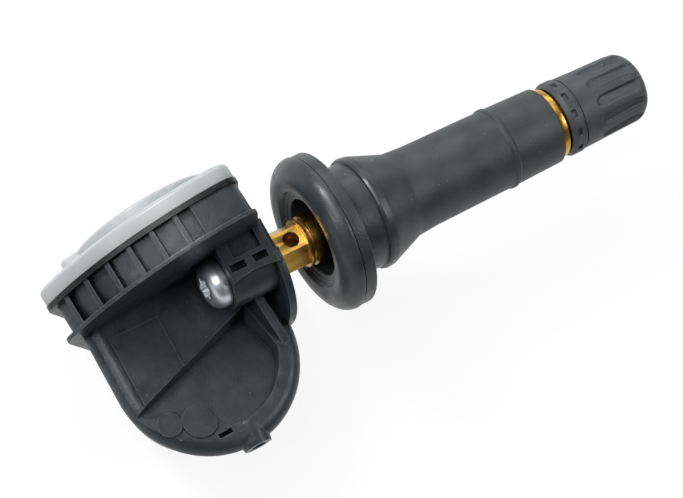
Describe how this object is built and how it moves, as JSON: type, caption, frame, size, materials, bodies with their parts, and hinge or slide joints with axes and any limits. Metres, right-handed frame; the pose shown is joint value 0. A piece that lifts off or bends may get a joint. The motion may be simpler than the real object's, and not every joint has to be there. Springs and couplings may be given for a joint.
{
  "type": "tyre pressure sensor",
  "caption": "Wheel-mounted tyre pressure sensor: black plastic sensor body with a translucent lid, screwed to a snap-in rubber valve stem with a plastic cap.",
  "frame": {"origin": "on the stem axis, at the flange face that seats on the inside of the wheel rim", "axes": "+X along the stem to the cap, +Y to the lid of the sensor body, +Z to the side with the stem boss and screw"},
  "size_m": [0.0782, 0.0302, 0.0309],
  "materials": {
    "housing_plastic": "fine moulded grain",
    "lid_plastic": "translucent, satin",
    "stem_rubber": "moulded rubber with a slight sheen",
    "stem_brass": "turned",
    "screw_zinc": "bright zinc plated",
    "cap_plastic": "moulded, satin",
    "core_brass": "turned",
    "seal_rubber": "smooth",
    "spring_steel": "drawn wire",
    "filter_white": "porous",
    "board_green": "solder mask",
    "cell_steel": "pressed",
    "package_black": "moulded package",
    "crystal_can": "pressed can",
    "ferrite": "sintered",
    "winding_copper": "enamelled wire",
    "chip_ceramic": "fired",
    "antenna_metal": "tin plated"
  },
  "bodies": {
    "sensor": {"housing": "housing_plastic", "lid": "lid_plastic", "rubber_stem": "stem_rubber", "brass_stem": "stem_brass", "retaining_screw": "screw_zinc", "core_plug": "core_brass", "core_barrel": "core_brass", "core_gasket": "seal_rubber", "core_spring": "spring_steel", "port_filter": "filter_white", "circuit_board": "board_green", "battery_cell": "cell_steel", "battery_tab_bottom": "cell_steel", "battery_tab_top": "cell_steel", "sensor_chip": "package_black", "crystal": "crystal_can", "lf_coil_core": "ferrite", "lf_coil_winding": "winding_copper", "chip_parts": "chip_ceramic", "antenna_strip": "antenna_metal"},
    "core_plunger": {"core_pin": "core_brass", "core_cup": "seal_rubber"},
    "cap_travel": {"cap_seal": "seal_rubber"},
    "cap": {"cap_shell": "cap_plastic"}
  },
  "joints": [
    {"name": "core_press", "type": "slide", "parent": "sensor", "child": "core_plunger", "axis": [-1, 0, 0], "range_m": [0, 0.0012], "stiffness_N_per_m": 2000, "springref_m": -0.0005, "deforming": ["core_spring"]},
    {"name": "cap_lift", "type": "slide", "parent": "sensor", "child": "cap_travel", "axis": [1, 0, 0], "range_m": [0, 0.00953]},
    {"name": "cap_turn", "type": "hinge", "parent": "cap_travel", "child": "cap", "pos_m": [0.0315, 0, 0], "axis": [1, 0, 0], "range_deg": [0, 4324]}
  ],
  "couplings": [
    {"joint": "cap_turn", "follows": "cap_lift", "rad_per_m": 7915.8}
  ]
}
